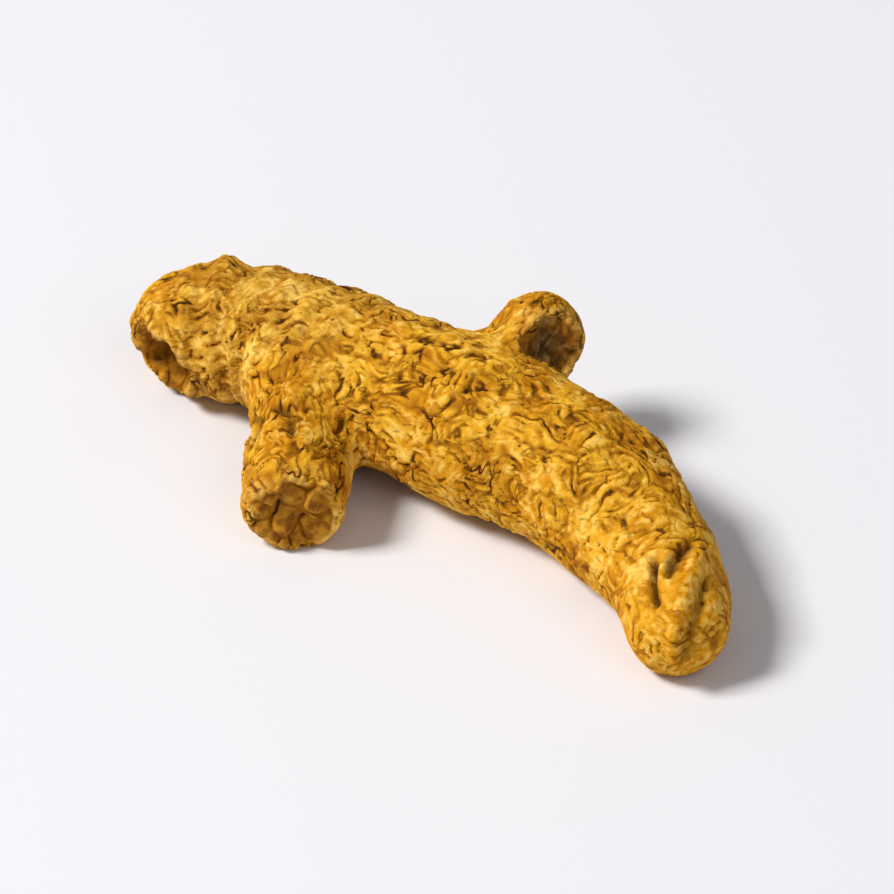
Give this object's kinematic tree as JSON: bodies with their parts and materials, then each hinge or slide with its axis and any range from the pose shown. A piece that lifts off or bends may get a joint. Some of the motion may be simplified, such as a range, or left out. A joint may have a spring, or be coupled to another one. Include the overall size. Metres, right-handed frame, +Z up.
{
  "type": "dried turmeric root",
  "caption": "Whole dried turmeric finger: a curved, wrinkled golden rhizome with a hollowed crown scar, a blunt tip, a snapped side finger and a short side knob.",
  "frame": {"origin": "on the floor, under the middle of the root's bounding box, as it lies on its side", "axes": "+X from the broken crown end to the blunt growing tip, +Z up, +Y to the side the short knob grows on"},
  "size_m": [0.0606, 0.0288, 0.0134],
  "materials": {
    "dried_skin": "matt, dusty and finely crinkled golden-yellow skin with brown creases"
  },
  "bodies": {
    "root": {"turmeric_root": "dried_skin"}
  },
  "joints": []
}
